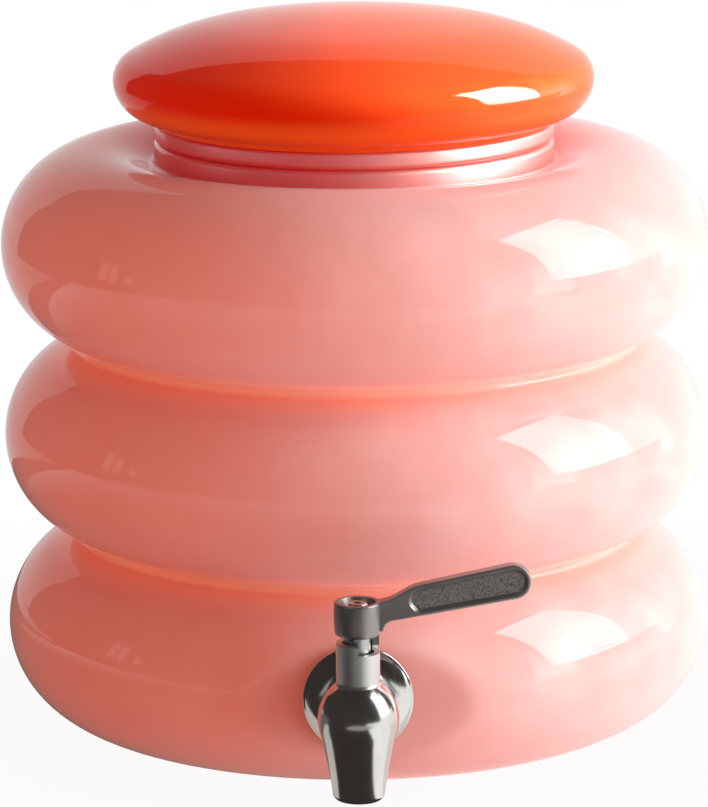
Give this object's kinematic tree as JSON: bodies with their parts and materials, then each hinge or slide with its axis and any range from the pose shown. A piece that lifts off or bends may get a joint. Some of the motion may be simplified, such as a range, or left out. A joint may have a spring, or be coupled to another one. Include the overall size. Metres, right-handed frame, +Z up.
{
  "type": "drink dispenser",
  "caption": "Countertop drink dispenser: a bubble-ringed opaline glass vessel with a domed lift-off glass lid and a quarter-turn lever tap clamped through its lowest ring.",
  "frame": {"origin": "centre of the vessel's base, on the surface that it stands on", "axes": "+Z up along the vessel's axis, -Y towards the tap and the person serving, +X to that person's right, where the closed lever points"},
  "size_m": [0.26, 0.301, 0.2615],
  "materials": {
    "vessel_glass": "milky salmon-pink opaline glass, glossy",
    "lid_glass": "deep orange milky glass, glossy",
    "clear_silicone": "translucent, soft",
    "polished_steel": "mirror polished",
    "plain_steel": "turned",
    "satin_steel": "fine bead-blasted satin",
    "grip_insert": "fine-grained matte",
    "plug_plastic": "low-friction plastic",
    "seal_rubber": "greased"
  },
  "bodies": {
    "vessel": {"glass_body": "vessel_glass", "tap_body": "polished_steel", "tap_flange": "polished_steel", "inlet_shank": "plain_steel", "outer_gasket": "clear_silicone", "inner_gasket": "clear_silicone", "inner_washer": "plain_steel", "lock_nut": "plain_steel", "retaining_clip": "plain_steel"},
    "lever": {"lever_handle": "satin_steel", "front_grip_pad": "grip_insert", "rear_grip_pad": "grip_insert", "handle_screw": "plain_steel", "screw_washer": "plain_steel", "valve_plug": "plain_steel", "upper_seal_ring": "seal_rubber", "lower_seal_ring": "seal_rubber", "thrust_washer": "plug_plastic"},
    "lid": {"lid_dome": "lid_glass", "lid_seal": "clear_silicone"}
  },
  "joints": [
    {"name": "lever_turn", "type": "hinge", "parent": "vessel", "child": "lever", "pos_m": [0, -0.157, 0.0372], "axis": [0, 0, 1], "range_deg": [-90, 0]},
    {"name": "lid_lift", "type": "slide", "parent": "vessel", "child": "lid", "axis": [0, 0, 1], "range_m": [0, 0.1]}
  ]
}
